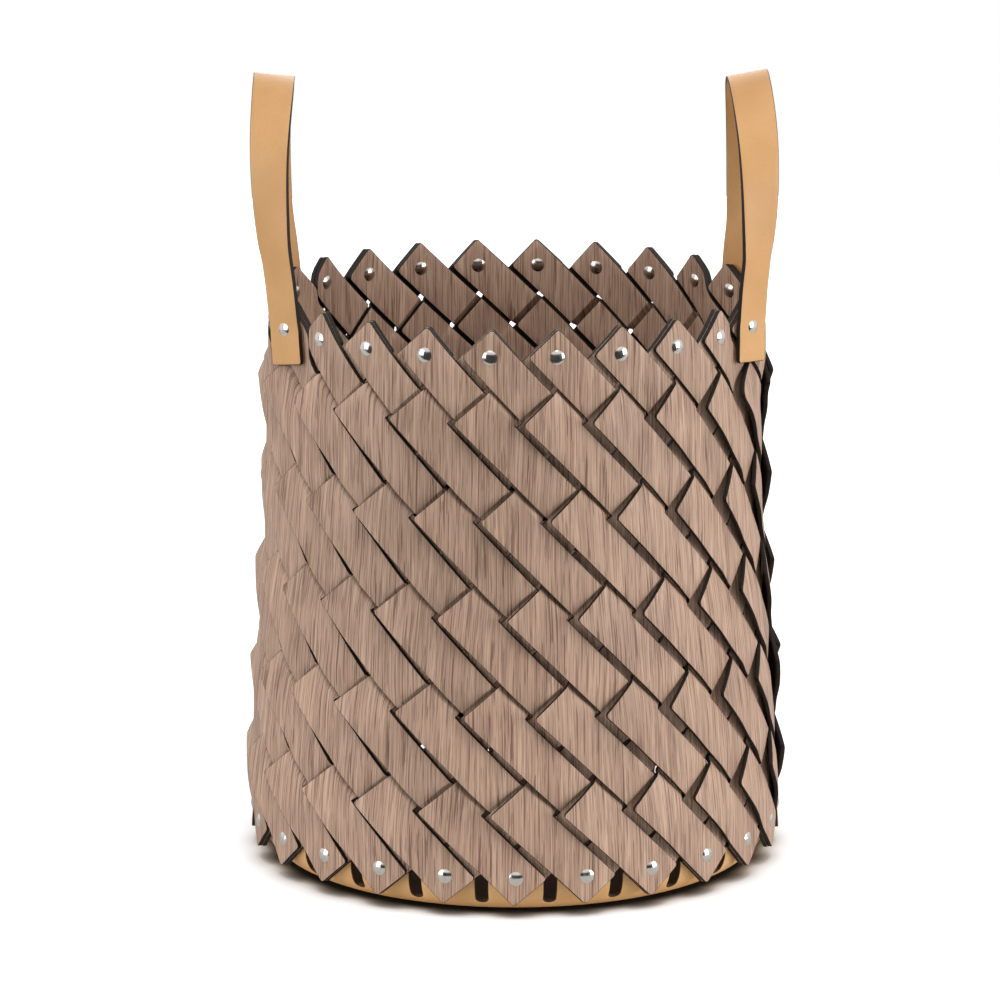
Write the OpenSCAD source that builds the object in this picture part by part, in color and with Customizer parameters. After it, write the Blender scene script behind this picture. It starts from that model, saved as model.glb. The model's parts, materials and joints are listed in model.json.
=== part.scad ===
// Woven basket: zigzag strips of stiff leather in two layers, riveted at the rim, riveted to a dished
// base with upturned petals, and carried by two riveted strap handles.
// The wall is laid out on a lattice. Across it, x counts half pitches between neighbouring rivets, and
// down it, l counts cells from the rim rivets. Strips cross, turn and are riveted at its cells.

/* [Wall] */
// Outside radius of the wall at the tips above the rim rivets
tip_r = 173; // [163:0.5:183]
// Outside radius of the wall at the rim rivets
rim_r = 175; // [165:0.5:185]
// Outside radius of the wall where the first corners lie
collar_r = 175.5; // [166:0.5:184]
// Outside radius of the wall at its waist
waist_r = 176; // [166:0.5:185]
// Outside radius of the wall at its flank, below the middle
flank_r = 184; // [174:0.5:193]
// Outside radius of the wall at its belly, where the lifted corners make it widest
belly_r = 187; // [178:0.1:196]
// Outside radius of the wall at the base rivets
foot_r = 190; // [180:0.5:199]
// Height of the rim rivets above the ground
rim_rivet_z = 392.8; // [350:0.1:430]
// Height of the base rivets above the ground
base_rivet_z = 29; // [26:0.5:36]
// Degrees that the weave drifts round between the rim rivets and the base rivets
drift_angle = -9.15; // [-12:0.05:0]

/* [Strips] */
// Thickness of a strip
strip_t = 3; // [2:0.1:3.5]
// Gap between two neighbouring legs of the outer layer
outer_gap = 4.6; // [3.6:0.1:7]
// Gap between two neighbouring legs of the inner layer
inner_gap = 3; // [2.6:0.1:6]
// Clearance between the outer and the inner layer
layer_gap = 0.4; // [0.3:0.05:0.8]
// How far the crossed corners stand proud of the rest of the wall
corner_lift = 1.35; // [0:0.05:2]
// How much further the tip of a left corner lifts off the wall, because the strips are stiff
tip_lift = 6.5; // [0:0.1:8]
// How far the left edge of an outer leg stands off the wall halfway down
edge_lift = 2.4; // [0:0.1:4]
// Radius of a strip's outer corners
corner_round = 2.5; // [1:0.1:5]
// Small relief cut in a strip's inner corners
corner_relief = 0.3; // [0.2:0.05:0.5]
// Distance from a rim rivet to the end of the strips it holds
rim_margin = 14; // [10:0.1:16]
// Distance from a base rivet to the end of the strips it holds
base_margin = 14.4; // [8:0.1:16]

/* [Rivets] */
// Diameter of a rivet's caps
cap_d = 10; // [8:0.1:12]
// Height of a rivet's domed cap
cap_h = 1.8; // [1:0.1:2.5]
// Height of the straight rim of a cap
cap_rim_h = 0.5; // [0.3:0.1:0.9]
// Diameter of a rivet's shank
shank_d = 4; // [3:0.1:5]
// How far the caps are pressed into the leather
cap_press = 0.35; // [0.2:0.05:0.6]
// Clearance round the shank and the caps
rivet_gap = 0.1; // [0.05:0.05:0.3]

/* [Base] */
// Thickness of the base leather
base_t = 3; // [2:0.1:3.5]
// Clearance between the petals and the strips
petal_gap = 0.6; // [0.4:0.1:1]
// Outside bend radius between the floor and the petals
bend_r = 15; // [10:0.5:20]
// Height of the petals above the base rivets
petal_rise = 13; // [8:0.5:16]
// Width of the slots between the petals
slot_w = 9; // [6:0.5:12]
// Height of the slots' round ends above the ground
slot_floor = 8; // [6:0.5:11]

/* [Handles] */
// Width of a handle strap
strap_w = 29; // [24:0.5:34]
// Thickness of a handle strap
strap_t = 3; // [2:0.1:3.5]
// Clearance between a strap and the wall
strap_gap = 0.3; // [0.2:0.05:0.6]
// Distance from a handle rivet down to the end of the strap
strap_margin = 25; // [18:0.5:30]
// Height of the top of a handle above the rim rivets
handle_rise = 167.8; // [140:0.1:190]
// Height above the rim rivets at which a handle's arch begins
leg_rise = 70; // [55:1:90]
// How far a handle bows outwards above its rivets
handle_bow = 9; // [4:0.5:14]
// Height of a handle's bending line above the rim rivets
flex_rise = 29; // [27:0.5:34]
// Radius of the cut between a handle's fixed ends and its loop
flex_r = 13; // [12:0.5:15]
// Running clearance of that cut
flex_gap = 0.3; // [0.2:0.05:0.5]

/* [Hidden] */
$fn = 64;
strip_count = 24;
STRIP_NUMBERS = [for (k = [1 : strip_count]) str(k < 10 ? "0" : "", k)];

strip_color = "#9c8577";
tan_color = "#dca873";
rivet_color = "#c8c8c4";

// Cells of the lattice between the rim rivets and the wall's collar, waist, flank and belly, in all
// down to the base rivets, and between the rivets and the tips beyond them
collar_cells = 2;
waist_cells = 6;
flank_cells = 11;
belly_cells = 13.5;
wall_cells = 16;
tip_cells = 1;
level_step = (rim_rivet_z - base_rivet_z) / wall_cells;
wall_profile = [
    [-tip_cells, tip_r], [0, rim_r], [collar_cells, collar_r], [waist_cells, waist_r],
    [flank_cells, flank_r], [belly_cells, belly_r], [wall_cells, foot_r],
    [wall_cells + tip_cells, foot_r + (foot_r - belly_r) * tip_cells / (wall_cells - belly_cells)]];

// Cells between two corners of a strip, and between a rivet and the nearest corner
leg_cells = 3;
end_cells = 2;
corner_count = 5;
half_pitch = 180 / strip_count;

// Side of a lattice cell, taken at the waist, and the half widths of the legs as shares of it
cell_w = waist_r * PI / strip_count;
cell_side = 2 * cell_w * level_step / norm([cell_w, level_step]);
outer_half_share = (1 - outer_gap / cell_side) / 2;
inner_half_share = (1 - inner_gap / cell_side) / 2;
relief_share = corner_relief / cell_side;
round_share = corner_round / cell_side;
rim_margin_share = rim_margin / cell_side;
base_margin_share = base_margin / cell_side;
arc_share = 1 - sqrt(0.5);

// Distance of a strip's middle surface from the wall's: over, under, and at the crossed corners
over = (strip_t + layer_gap) / 2;
under = -over;
proud = over + corner_lift;
tucked = under + corner_lift;
wall_half_t = over + strip_t / 2;

// Lift of a falling leg's left edge where it leaves its corner: the tip's lift fades to the edge's
tip_share = (leg_cells / 2 - inner_half_share) / (leg_cells / 2 + inner_half_share);
corner_edge_lift = edge_lift + (tip_lift - edge_lift) * tip_share;

// Rivet pitches that a handle spans
handle_span_count = 3;
handle_half_angle = handle_span_count * half_pitch;
overrun = 30;
box_size = 4 * belly_r;

// Height of level l
function level_z(l) = rim_rivet_z - l * level_step;
// Outside radius of the wall at level l
function outside_r(l) = lookup(l, wall_profile);
// Radius of the surface between the two layers at level l
function middle_r(l) = outside_r(l) - wall_half_t;
// Angle by which the wall's outward normal tilts up at level l
function wall_tilt(l) =
    atan((outside_r(l + tip_cells) - outside_r(l - tip_cells)) / (2 * tip_cells * level_step));
// Angle round the basket of lattice place x, l: 0 faces the front, and it grows to the right
function azimuth(x, l) = (x - 1) * half_pitch + drift_angle * l / wall_cells;
// Point at distance h outside the wall's middle surface
function on_wall(x, l, h) =
    let (a = azimuth(x, l), r = middle_r(l) + h)
    [r * sin(a), -r * cos(a), level_z(l)];

// Lattice place at s cells down to the right and v cells up to the right of cell c, at offset h
function place(c, s, v, h) = [c[0] + s + v, c[1] + s - v, h];
// Rung across a leg that falls to the right: its left end, which is lifted, and its right end
function falling_rung(c, s, h, lift = 0) =
    [place(c, s, -outer_half_share, h + lift), place(c, s, outer_half_share, h)];
// Rung across a leg that returns to the left
function returning_rung(c, v, h) = [place(c, -inner_half_share, v, h), place(c, inner_half_share, v, h)];

// Falling leg from the left corner at cell c to the next right corner: it lies in the outer layer,
// and dips into the inner one in the gap before that corner
function falling_leg(c) = [
    falling_rung(c, inner_half_share + relief_share, proud, corner_edge_lift),
    falling_rung(c, leg_cells / 2, over, edge_lift),
    falling_rung(c, leg_cells - 1 + inner_half_share, over),
    falling_rung(c, leg_cells - inner_half_share - relief_share, tucked)];
// Returning leg from the right corner at cell c to the next left corner: it lies in the inner layer,
// and rises into the outer one in the gap before that corner
function returning_leg(c) = [
    returning_rung(c, -outer_half_share - relief_share, tucked),
    returning_rung(c, outer_half_share - 1, under),
    returning_rung(c, -leg_cells / 2, under),
    returning_rung(c, 1 - leg_cells - outer_half_share, under),
    returning_rung(c, outer_half_share + relief_share - leg_cells, proud)];
// First leg of a strip whose rim end lies outside, from the rim rivet at cell c
function first_falling_leg(c) = [
    falling_rung(c, -rim_margin_share, over),
    falling_rung(c, 1 / 2, over),
    falling_rung(c, end_cells - 1 + inner_half_share, over),
    falling_rung(c, end_cells - inner_half_share - relief_share, tucked)];
// First leg of a strip whose rim end lies inside
function first_returning_leg(c) = [
    returning_rung(c, rim_margin_share, under),
    returning_rung(c, -1 / 2, under),
    returning_rung(c, 1 - end_cells - outer_half_share, under),
    returning_rung(c, outer_half_share + relief_share - end_cells, proud)];
// Last leg of a strip whose base end lies outside, from the left corner at cell c
function last_falling_leg(c) = [
    falling_rung(c, inner_half_share + relief_share, proud, corner_edge_lift),
    falling_rung(c, end_cells - inner_half_share, over),
    falling_rung(c, end_cells + base_margin_share, over)];
// Last leg of a strip whose base end lies inside, from the right corner at cell c
function last_returning_leg(c) = [
    returning_rung(c, -outer_half_share - relief_share, tucked),
    returning_rung(c, outer_half_share - 1, under),
    returning_rung(c, outer_half_share - end_cells, under),
    returning_rung(c, -end_cells - base_margin_share, under)];

// Three points round the tip of a corner at cell c, from top to bottom: side is 1 for a right corner
// and -1 for a left one
function tip_points(c, side, h) =
    let (s = inner_half_share, v = outer_half_share, r = round_share, k = arc_share)
    side > 0
        ? [place(c, s - r, v, h), place(c, s - k * r, v - k * r, h), place(c, s, v - r, h)]
        : [place(c, -s, r - v, h), place(c, k * r - s, k * r - v, h), place(c, r - s, -v, h)];

// Outer face of the corner between rungs a and b, whose tip points start at p
function corner_faces(a, b, p, side) =
    side > 0
        ? [[2 * a + 1, p, p + 1], [2 * a + 1, p + 1, p + 2], [2 * a + 1, p + 2, 2 * b + 1],
           [2 * a + 1, 2 * b + 1, 2 * b], [2 * a + 1, 2 * b, 2 * a]]
        : [[2 * a, 2 * a + 1, 2 * b + 1], [2 * a, 2 * b + 1, 2 * b], [2 * a, 2 * b, p + 2],
           [2 * a, p + 2, p + 1], [2 * a, p + 1, p]];
// Outer face between rungs a and a + 1 of one leg, split along the line that runs up the wall
function leg_faces(a, falls) =
    let (w = 2 * a, e = 2 * a + 1, w_next = 2 * a + 2, e_next = 2 * a + 3)
    falls ? [[w, e, w_next], [e, e_next, w_next]] : [[w, e, e_next], [w, e_next, w_next]];

// Corner cells of the strip whose rim rivet is at x, and whose first corner is on the given side
function corner_cells(x, side) = [for (j = [0 : corner_count - 1])
    [x + side * (j % 2 == 0 ? end_cells : end_cells - leg_cells), end_cells + leg_cells * j]];
// Number of rungs in the legs before leg j
function rungs_before(legs, j) = j == 0 ? 0 : rungs_before(legs, j - 1) + len(legs[j - 1]);
// Reverse of a list
function reversed(list) = [for (i = [len(list) - 1 : -1 : 0]) list[i]];

// One zigzag strip, from its legs and its corner cells: first_side is 1 if the first corner is a right
// one, and -1 if it is a left one. Left corners lie on the right corners of other strips.
module strip(legs, corners, first_side) {
    rungs = [for (leg = legs) each leg];
    rung_count = len(rungs);
    sides = [for (j = [0 : len(corners) - 1]) j % 2 == 0 ? first_side : -first_side];
    tips = [for (j = [0 : len(corners) - 1])
        each tip_points(corners[j], sides[j], sides[j] > 0 ? tucked : proud + tip_lift)];
    places = concat([for (rung = rungs) each rung], tips);
    n = len(places);
    starts = [for (j = [0 : len(legs)]) rungs_before(legs, j)];
    front = concat(
        [for (j = [0 : len(legs) - 1]) for (a = [starts[j] : starts[j + 1] - 2])
            each leg_faces(a, (j % 2 == 0) == (first_side > 0))],
        [for (j = [0 : len(corners) - 1])
            each corner_faces(starts[j + 1] - 1, starts[j + 1], 2 * rung_count + 3 * j, sides[j])]);
    // Edge of the strip on one side, from top to bottom, with the tips of the corners on that side
    right_edge = [for (j = [0 : len(legs) - 1]) each concat(
        [for (a = [starts[j] : starts[j + 1] - 1]) 2 * a + 1],
        j < len(corners) && sides[j] > 0 ? [for (k = [0 : 2]) 2 * rung_count + 3 * j + k] : [])];
    left_edge = [for (j = [0 : len(legs) - 1]) each concat(
        [for (a = [starts[j] : starts[j + 1] - 1]) 2 * a],
        j < len(corners) && sides[j] < 0 ? [for (k = [0 : 2]) 2 * rung_count + 3 * j + k] : [])];
    outline = concat(right_edge, reversed(left_edge));
    rim = [for (i = [0 : len(outline) - 1])
        let (a = outline[i], b = outline[(i + 1) % len(outline)])
        each [[b, a, a + n], [b, a + n, b + n]]];
    polyhedron(
        points = concat(
            [for (p = places) on_wall(p[0], p[1], p[2] + strip_t / 2)],
            [for (p = places) on_wall(p[0], p[1], p[2] - strip_t / 2)]),
        faces = concat(front, [for (f = front) [f[2] + n, f[1] + n, f[0] + n]], rim),
        convexity = 10);
}

// Puts its children at lattice place x, l on the wall's middle surface, with +Z along the outward normal
module at_wall(x, l) {
    rotate([0, 0, azimuth(x, l)])
        translate([0, -middle_r(l), level_z(l)])
            rotate([90 - wall_tilt(l), 0, 0])
                children();
}

// Rivet with two domed caps that clamps what lies between heights low and high
module rivet(low, high) {
    cap_r = cap_d / 2;
    dome_h = cap_h - cap_rim_h;
    dome_r = (cap_r * cap_r + dome_h * dome_h) / (2 * dome_h);
    half_angle = asin(cap_r / dome_r);
    steps = 3;
    dome = [for (i = [steps : -1 : 0])
        let (a = half_angle * i / steps)
        [dome_r * sin(a), cap_rim_h + dome_h - dome_r * (1 - cos(a))]];
    rotate_extrude()
        polygon(concat(
            [[0, low - cap_h]],
            [for (p = reversed(dome)) if (p[0] > 0) [p[0], low - p[1]]],
            [[cap_r, low], [shank_d / 2, low], [shank_d / 2, high], [cap_r, high]],
            [for (p = dome) if (p[0] > 0) [p[0], high + p[1]]],
            [[0, high + cap_h]]));
}

// Room for that rivet: a hole, and the two shallow seats that its caps press
module rivet_room(low, high) {
    translate([0, 0, low - overrun])
        cylinder(d = shank_d + 2 * rivet_gap, h = high - low + 2 * overrun);
    translate([0, 0, high])
        cylinder(d = cap_d + 2 * rivet_gap, h = cap_h);
    translate([0, 0, low - cap_h])
        cylinder(d = cap_d + 2 * rivet_gap, h = cap_h);
}

// Heights of the seats: the rim's, the base's with the petal inside, and a handle's with the strap outside
rim_low = -wall_half_t + cap_press;
rim_high = wall_half_t - cap_press;
base_low = -wall_half_t - petal_gap - base_t + cap_press;
handle_high = wall_half_t + strap_gap + strap_t - cap_press;

// Lattice x of rivet k, counted from 1 at the front
function rivet_x(k) = 2 * (k - 1);
// Whether rim rivet k holds a handle: two on each side do
function holds_handle(k) =
    let (a = azimuth(rivet_x(k), 0) % 360, turn = a > 180 ? a - 360 : a)
    abs(abs(abs(turn) - 90) - handle_half_angle) < half_pitch / 2;

// Cuts the rivet holes of strip k, at its rim end and at its base end
module with_rivet_holes(k) {
    rim_seat_high = holds_handle(k) ? overrun : rim_high;
    difference() {
        children();
        at_wall(rivet_x(k), 0) rivet_room(rim_low, rim_seat_high);
        at_wall(rivet_x(k), wall_cells) rivet_room(base_low, rim_high);
    }
}

// Strip k of the set whose rim ends lie outside
module outside_strip(k) {
    x = rivet_x(k);
    corners = corner_cells(x, 1);
    legs = [
        first_falling_leg([x, 0]), returning_leg(corners[0]), falling_leg(corners[1]),
        returning_leg(corners[2]), falling_leg(corners[3]), last_returning_leg(corners[4])];
    color(strip_color)
        with_rivet_holes(k) strip(legs, corners, 1);
}

// Strip k of the set whose rim ends lie inside
module inside_strip(k) {
    x = rivet_x(k);
    corners = corner_cells(x, -1);
    legs = [
        first_returning_leg([x, 0]), falling_leg(corners[0]), returning_leg(corners[1]),
        falling_leg(corners[2]), returning_leg(corners[3]), last_falling_leg(corners[4])];
    color(strip_color)
        with_rivet_holes(k) strip(legs, corners, -1);
}

// Rivets of the rim, but for those that hold the handles
module rim_rivets() {
    color(rivet_color)
        for (k = [1 : strip_count])
            if (!holds_handle(k)) at_wall(rivet_x(k), 0) rivet(rim_low, rim_high);
}

// Rivets that hold the strips to the base
module base_rivets() {
    color(rivet_color)
        for (k = [1 : strip_count]) at_wall(rivet_x(k), wall_cells) rivet(base_low, rim_high);
}

// Rivets that hold the handles to the rim
module handle_rivets() {
    color(rivet_color)
        for (k = [1 : strip_count])
            if (holds_handle(k)) at_wall(rivet_x(k), 0) rivet(rim_low, handle_high);
}

// Outside radius of the petals at height z: they follow the inner face of the strips
function petal_r(z) =
    outside_r(wall_cells - (z - base_rivet_z) / level_step) - 2 * wall_half_t - petal_gap;

// Dished leather base: a flat floor, a round bend and a petal behind each base rivet
module base() {
    top_z = base_rivet_z + petal_rise;
    wall_r = petal_r(bend_r);
    bend_centre_r = wall_r - bend_r;
    inner_bend_r = bend_r - base_t;
    bend_steps = 8;
    profile = concat(
        [[0, 0]],
        [for (i = [0 : bend_steps])
            let (a = 90 * i / bend_steps)
            [bend_centre_r + bend_r * sin(a), bend_r - bend_r * cos(a)]],
        [[petal_r(top_z), top_z], [petal_r(top_z) - base_t, top_z]],
        [for (i = [bend_steps : -1 : 0])
            let (a = 90 * i / bend_steps)
            [bend_centre_r + inner_bend_r * sin(a), bend_r - inner_bend_r * cos(a)]],
        [[0, base_t]]);
    color(tan_color)
        difference() {
            rotate_extrude() polygon(profile);
            for (k = [1 : strip_count]) {
                at_wall(rivet_x(k), wall_cells) rivet_room(base_low, rim_high);
                rotate([0, 0, azimuth(rivet_x(k) + 1, wall_cells)])
                    translate([0, -bend_centre_r, slot_floor + slot_w / 2])
                        rotate([90, 0, 0])
                            petal_slot();
            }
        }
}

// Slot between two petals, with its round end at the origin and its open end above
module petal_slot() {
    cylinder(d = slot_w, h = bend_r + overrun);
    translate([-slot_w / 2, 0, 0])
        cube([slot_w, petal_rise + base_rivet_z, bend_r + overrun]);
}

// Handles. The right one is drawn, and the left one is its mirror image.

// How steeply a strap's twist fades from the wall's tangent at its rivet to none at the top
twist_power = 1.5;
// Height share at which the bow is full
bow_share = 0.7;
// Distance from the wall's middle surface to the middle of a strap that lies on the wall
strap_offset = wall_half_t + strap_gap + strap_t / 2;
strap_foot_r = middle_r(0) + strap_offset * cos(wall_tilt(0));
strap_foot_z = rim_rivet_z + strap_offset * sin(wall_tilt(0));
foot_x = strap_foot_r * cos(handle_half_angle);
foot_y = strap_foot_r * sin(handle_half_angle);
arch_h = handle_rise - leg_rise - strap_t / 2;
flex_z = rim_rivet_z + flex_rise;
flex_x = foot_x + strap_bow(flex_z);
foot_steps = 2;
leg_steps = 8;
arch_steps = 12;
arch_len = PI / 4 * (3 * (foot_y + arch_h) - sqrt((3 * foot_y + arch_h) * (foot_y + 3 * arch_h)));

// Outward bow of a handle at height z
function strap_bow(z) =
    let (t = max(0, min(1, (z - rim_rivet_z) / (bow_share * handle_rise))))
    handle_bow * (1 - cos(180 * t)) / 2;
// Point on the middle line of a strap's front half: t runs from -1 at its end to 0 at the rivet, to 1
// where the arch begins, and to 2 at the top
function strap_point(t) =
    t < 0
        ? let (d = strap_margin * t, a = wall_tilt(0), r = strap_foot_r - d * sin(a))
          [r * cos(handle_half_angle), -r * sin(handle_half_angle), strap_foot_z + d * cos(a)]
        : let (
            leg_z = strap_foot_z + (rim_rivet_z + leg_rise - strap_foot_z) * min(t, 1),
            a = 90 * max(0, t - 1),
            z = leg_z + arch_h * sin(a))
          [foot_x + strap_bow(z), -foot_y * cos(a), z];
// Direction of that line
function strap_direction(t) =
    let (step = 0.01, d = strap_point(min(t + step, 2)) - strap_point(t - step))
    t >= 2 ? [0, 1, 0] : d / norm(d);
// Angle of the strap's twist, measured from facing the front
function strap_twist(t) =
    let (run = t <= 0 ? 0 : t <= 1 ? t * leg_rise : leg_rise + (t - 1) * arch_len)
    (90 - handle_half_angle) * pow(1 - run / (leg_rise + arch_len), twist_power);
// Four corners of a strap's section at t
function strap_section(t) =
    let (
        along = strap_direction(t),
        side = cross(along, [1, 0, 0]),
        level = cross(side / norm(side), along),
        twist = strap_twist(t),
        across = cos(twist) * level + sin(twist) * side / norm(side),
        out = cross(across, along),
        w = strap_w / 2,
        h = strap_t / 2)
    [for (corner = [[-w, -h], [w, -h], [w, h], [-w, h]])
        strap_point(t) + corner[0] * across + corner[1] * out];

// Whole strap of the right handle, swept from its front end over the top to its back end
module strap() {
    ts = concat(
        [for (i = [0 : foot_steps - 1]) -1 + i / foot_steps],
        [for (i = [0 : leg_steps - 1]) i / leg_steps],
        [for (i = [0 : arch_steps]) 1 + i / arch_steps]);
    front = [for (t = ts) strap_section(t)];
    back = [for (i = [len(front) - 2 : -1 : 0]) [for (p = front[i]) [p[0], -p[1], p[2]]]];
    sections = concat(front, back);
    count = len(sections);
    sides = [for (i = [0 : count - 2]) for (k = [0 : 3])
        let (a = 4 * i + k, b = 4 * i + (k + 1) % 4)
        each [[a, b, b + 4], [a, b + 4, a + 4]]];
    last = 4 * (count - 1);
    ends = [[0, 2, 1], [0, 3, 2], [last, last + 1, last + 2], [last, last + 2, last + 3]];
    polyhedron(points = [for (s = sections) each s], faces = concat(sides, ends), convexity = 10);
}

// Everything below the bending line, with a round top of radius r along it
module below_bending_line(r) {
    translate([flex_x - box_size / 2, -box_size / 2, flex_z - box_size])
        cube([box_size, box_size, box_size]);
    translate([flex_x, -box_size / 2, flex_z])
        rotate([-90, 0, 0])
            cylinder(r = r, h = box_size);
}

// Loop of the right handle, above the bending line
module handle_loop() {
    color(tan_color)
        difference() {
            strap();
            below_bending_line(flex_r + flex_gap);
        }
}

// Fixed front end of the right handle, riveted to the wall
module handle_end() {
    rivet_from_front = (90 - handle_half_angle) / half_pitch + 1;
    color(tan_color)
        difference() {
            intersection() {
                strap();
                below_bending_line(flex_r);
                translate([0, -box_size, 0])
                    cube([box_size, box_size, box_size]);
            }
            at_wall(rivet_from_front, 0) rivet_room(rim_low, handle_high);
        }
}

for (k = [1 : strip_count])
    outside_strip(k);
for (k = [1 : strip_count])
    inside_strip(k);
base();
rim_rivets();
base_rivets();
handle_rivets();
mirror([1, 0, 0]) handle_loop();  // left_handle_loop
handle_loop();  // right_handle_loop
mirror([1, 0, 0]) handle_end();  // left_handle_front_end
mirror([1, 0, 0]) mirror([0, 1, 0]) handle_end();  // left_handle_back_end
handle_end();  // right_handle_front_end
mirror([0, 1, 0]) handle_end();  // right_handle_back_end
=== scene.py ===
"""Looks of a woven basket: two layers of zigzag leather strips, a dished leather base with petals,
domed rivets and two riveted strap handles, on a white floor in soft studio light.

Every leather piece starts as a flat cut sheet and is then laid on its form. The wall is a lattice: across
it, x counts half pitches between rivets, and down it, rows count cells from the rim rivets. On a flat
strip, s runs down to the right and v up to the right, both in cells.
"""

import json
import math
import random

import bmesh
import bpy
from mathutils import Matrix, Vector


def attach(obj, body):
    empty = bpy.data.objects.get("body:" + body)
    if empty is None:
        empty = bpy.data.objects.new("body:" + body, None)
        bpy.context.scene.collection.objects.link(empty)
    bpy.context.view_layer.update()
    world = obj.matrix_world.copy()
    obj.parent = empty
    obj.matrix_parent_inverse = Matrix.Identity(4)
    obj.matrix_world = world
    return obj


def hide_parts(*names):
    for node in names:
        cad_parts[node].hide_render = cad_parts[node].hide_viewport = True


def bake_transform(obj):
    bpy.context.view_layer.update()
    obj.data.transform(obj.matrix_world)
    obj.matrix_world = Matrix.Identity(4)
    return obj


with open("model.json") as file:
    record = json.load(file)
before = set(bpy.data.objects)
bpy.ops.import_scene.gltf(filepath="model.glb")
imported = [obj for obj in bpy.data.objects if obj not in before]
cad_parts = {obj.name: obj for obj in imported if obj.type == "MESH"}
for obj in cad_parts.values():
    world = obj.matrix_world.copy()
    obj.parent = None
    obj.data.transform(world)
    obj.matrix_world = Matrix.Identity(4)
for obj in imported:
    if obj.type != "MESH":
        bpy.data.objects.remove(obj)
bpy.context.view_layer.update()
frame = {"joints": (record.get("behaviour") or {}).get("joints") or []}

MM = 0.001

# Flat sheets of leather. A face whose normal has more than LEVEL_NORMAL_Z along Z is a large one.
CORNER_SEGMENTS = 6
SMALL_CORNER_R = 1 * MM
SMALL_CORNER_SEGMENTS = 2
EDGE_SEGMENTS = 2
SHARP_ANGLE = math.radians(28)
LEVEL_NORMAL_Z = 0.5

# How close points are taken as one, in metres, and places on a strip, in cells
CUT_REACH = 1e-7
POINT_REACH = 1e-6
SECTOR_REACH = 2e-5
CELL_REACH = 1e-4

# Wall, with its outside radius at rows counted down from the rim rivets
WALL_PROFILE = [
    (-1, 173 * MM), (0, 175 * MM), (2, 175.5 * MM), (6, 176 * MM), (11, 184 * MM), (13.5, 187 * MM),
    (16, 190 * MM), (17, 191.2 * MM)]
RIM_RIVET_Z = 392.8 * MM
BASE_RIVET_Z = 29 * MM
WAIST_R = 176 * MM
DRIFT = math.radians(-9.15)
WALL_ROWS = 16
STRIP_COUNT = 24
HALF_PITCH = math.pi / STRIP_COUNT
ROW_STEP = (RIM_RIVET_Z - BASE_RIVET_Z) / WALL_ROWS

# Strips
STRIP_T = 3 * MM
LAYER_GAP = 0.4 * MM
OUTER_GAP = 4.6 * MM
INNER_GAP = 3 * MM
CORNER_LIFT = 1.35 * MM
CORNER_ROUND = 2.6 * MM
INNER_CORNER_ROUND = 0.5 * MM
RIM_MARGIN = 14 * MM
BASE_MARGIN = 14.4 * MM
STRIP_EDGE_BEVEL = 0.35 * MM
LEG_CELLS = 3
END_CELLS = 2
CORNER_COUNT = 5
CUTS_PER_CELL = 5
CUTS_PER_GAP = 3

# Each strip draws its corners' lifts, and how far its grain is shifted, in metres, and turned, in degrees
DRAW_SEED = 7
GRAIN_SHIFT = 9
GRAIN_TURN = 1.5

# The stiff strips don't lie down at their left corners: the tip and the left edge of each leg that leaves
# such a corner stand off the wall, and come down towards the end of the leg
TIP_LIFT = 6.5 * MM
TIP_LIFT_SPREAD = 1.2 * MM
EDGE_LIFT = 2.4 * MM
EDGE_LIFT_SPREAD = 0.5 * MM
TIP_LIFT_END = 1.2
TIP_LIFT_POWER = 1.2
LEG_DOWN_CELLS = (1.8, 2.45)
LAST_LEG_DOWN_CELLS = (0.9, 1.7)

# Rivets
CAP_R = 5 * MM
CAP_H = 1.8 * MM
CAP_RIM_H = 0.45 * MM
CAP_PRESS = 0.35 * MM
CAP_FOOT_SHARE = 0.94
CAP_FOOT_RISE_SHARE = 0.3
CAP_STEPS = 48
DOME_STEPS = 8
CAP_SHARP_ANGLE = math.radians(50)

# Base. Inside FLOOR_START_R its floor is filled with one flat face above and one below.
BASE_T = 3 * MM
PETAL_GAP = 0.6 * MM
FLOOR_START_R = 60 * MM
BEND_R = 24 * MM
PETAL_RISE = 13 * MM
SLOT_W = 9 * MM
SLOT_FLOOR = 8 * MM
SLOT_ROUND_SHARE = 0.98
PETAL_ROUND = 3 * MM
HALF_SECTOR_CUTS = 6
FLOOR_CUTS = 5
BEND_CUTS = 8
PETAL_CUTS = 4

# Handles
STRAP_W = 29 * MM
STRAP_T = 3 * MM
STRAP_GAP = 0.3 * MM
STRAP_MARGIN = 25 * MM
HANDLE_RISE = 167.8 * MM
LEG_RISE = 70 * MM
TWIST_POWER = {"left": 1.05, "right": 1.75}
TWIST_SHARE = 0.76
CREST_ROLL = {"left": math.radians(8), "right": math.radians(11)}
CREST_SHARE = 0.5
STRAP_CORNER_ROUND = 2.2 * MM
STRAP_EDGE_BEVEL = 0.5 * MM
STRAP_CUTS = 150
HALF_STRAP_CUTS = 4
COURSE_STEP = 0.5 * MM

# Outward bow of each strap, at heights above its rivets
HANDLE_BOW = {
    "left": [
        (0, 0), (26 * MM, 2.4 * MM), (44 * MM, 4.6 * MM), (61 * MM, 7.2 * MM), (78 * MM, 8.6 * MM),
        (96 * MM, 9.6 * MM), (112 * MM, 10 * MM), (128 * MM, 9.8 * MM), (143 * MM, 9 * MM),
        (168 * MM, 7 * MM)],
    "right": [
        (0, 0), (26 * MM, 1.4 * MM), (44 * MM, 3.1 * MM), (61 * MM, 4.4 * MM), (78 * MM, 5 * MM),
        (96 * MM, 5.2 * MM), (112 * MM, 5 * MM), (128 * MM, 4.4 * MM), (143 * MM, 3.3 * MM),
        (168 * MM, 0.8 * MM)]}

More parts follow.
